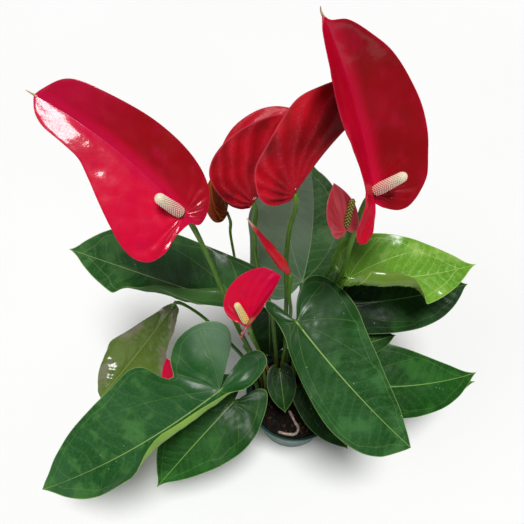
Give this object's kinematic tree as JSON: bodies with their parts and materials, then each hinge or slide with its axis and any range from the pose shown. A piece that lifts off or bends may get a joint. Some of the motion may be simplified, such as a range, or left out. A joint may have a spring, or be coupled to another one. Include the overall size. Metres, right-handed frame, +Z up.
{
  "type": "potted anthurium",
  "caption": "Anthurium plant in a round nursery pot of soil: heart-shaped leaves and red spathes with cream spadices on slender stalks.",
  "frame": {"origin": "centre of the pot's underside, on the surface that it stands on", "axes": "+Z up along the pot's axis, -Y towards the picture's viewer, +X to the viewer's right"},
  "size_m": [0.4904, 0.2929, 0.5602],
  "materials": {
    "pot_plastic": "thin moulded nursery-pot plastic, grey teal, satin with faint moulding marks",
    "soil": "dark moist peat with bark crumbs",
    "leaf": "thick glossy dark green leaf with pale midrib, side veins and thin pale margin",
    "leaf_young": "fresh light green young leaf, glossy",
    "leaf_hanging": "older hanging leaf, translucent olive with a dry brown corner",
    "leaf_back": "dull grey-green leaf face standing upright at the back",
    "stalk": "smooth olive green stem, brownish towards the foot",
    "spathe": "lacquer-glossy red spathe",
    "spathe_aged": "ageing spathe, dull rose with darker streaks",
    "spathe_old": "old spathe, rust brown with dark stripes",
    "spadix_fresh": "cream spadix covered in small florets, pinkish at its base",
    "spadix_ripe": "ripe spadix, dark olive with yellow florets",
    "shoot": "new shoot in a papery pinkish-yellow sheath",
    "root": "pale tan aerial root"
  },
  "bodies": {
    "root": {"pot": "pot_plastic", "soil": "soil", "leaf_front_right": "leaf", "leaf_upper_left": "leaf", "leaf_front_left": "leaf", "leaf_front": "leaf", "leaf_center": "leaf", "leaf_front_small": "leaf", "leaf_right": "leaf", "leaf_right_shaded": "leaf", "leaf_right_young": "leaf_young", "leaf_back": "leaf_back", "leaf_hanging": "leaf_hanging", "leaf_right_inner": "leaf", "leaf_right_low": "leaf", "leaf_inner": "leaf", "spathe_left": "spathe", "stalk_left": "stalk", "spadix_left": "spadix_fresh", "spathe_right": "spathe", "stalk_right": "stalk", "spadix_right": "spadix_fresh", "spathe_back_left": "spathe", "stalk_back_left": "stalk", "spadix_back_left": "spadix_fresh", "spathe_back_right": "spathe", "stalk_back_right": "stalk", "spadix_back_right": "spadix_fresh", "spathe_front": "spathe", "stalk_front": "stalk", "spadix_front": "spadix_fresh", "spathe_aged": "spathe_aged", "stalk_aged": "stalk", "spadix_aged": "spadix_ripe", "spathe_old": "spathe_old", "stalk_old": "stalk", "spadix_old": "spadix_ripe", "spathe_low": "spathe", "stalk_low": "stalk", "spadix_low": "spadix_fresh", "bud": "spathe", "stalk_bud": "stalk", "new_shoot": "shoot", "petiole_stub": "stalk", "aerial_root": "root"}
  },
  "joints": []
}
